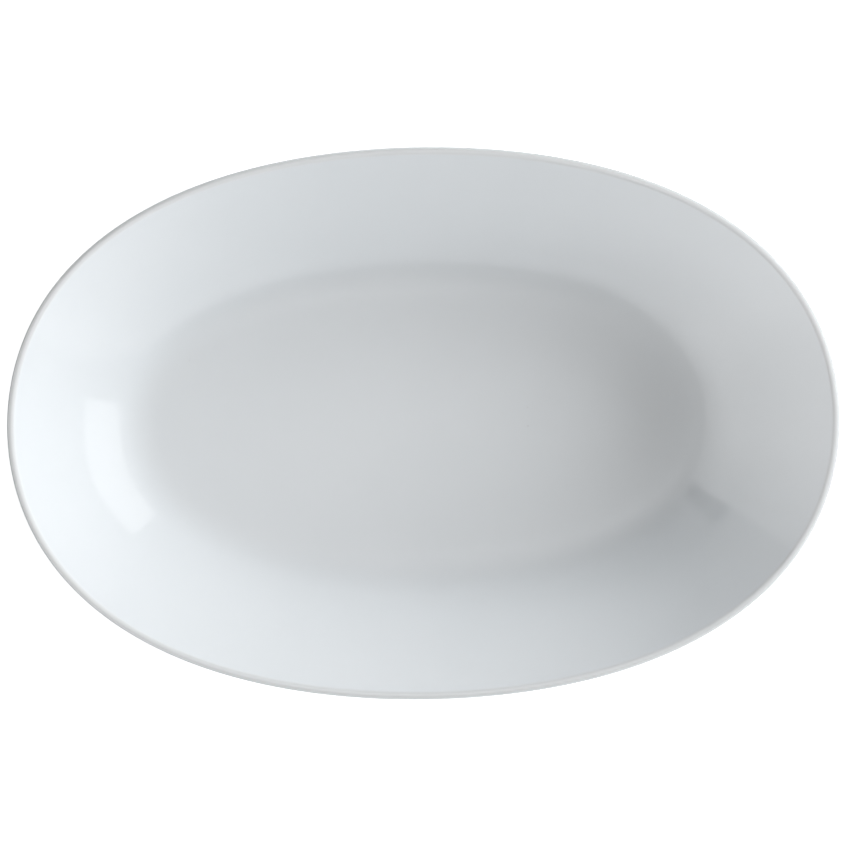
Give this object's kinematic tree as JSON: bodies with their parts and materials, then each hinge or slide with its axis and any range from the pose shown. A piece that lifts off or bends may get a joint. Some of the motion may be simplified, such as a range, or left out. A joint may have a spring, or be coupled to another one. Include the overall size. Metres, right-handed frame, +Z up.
{
  "type": "serving platter",
  "caption": "Deep oval serving platter of glazed white porcelain, with a curved wall, a rounded lip and a bare standing foot.",
  "frame": {"origin": "on the table, midway along and across the platter", "axes": "+Z up, out of the dish; +X along its length; +Y across it"},
  "size_m": [0.34, 0.2254, 0.049],
  "materials": {
    "bisque": "unglazed, fine and matte",
    "glaze": "clear cool-white gloss glaze",
    "print": "underglaze print"
  },
  "bodies": {
    "root": {"porcelain_body": "bisque", "foot_ring": "bisque", "inner_glaze": "glaze", "outer_glaze": "glaze", "recess_glaze": "glaze", "backstamp": "print"}
  },
  "joints": []
}
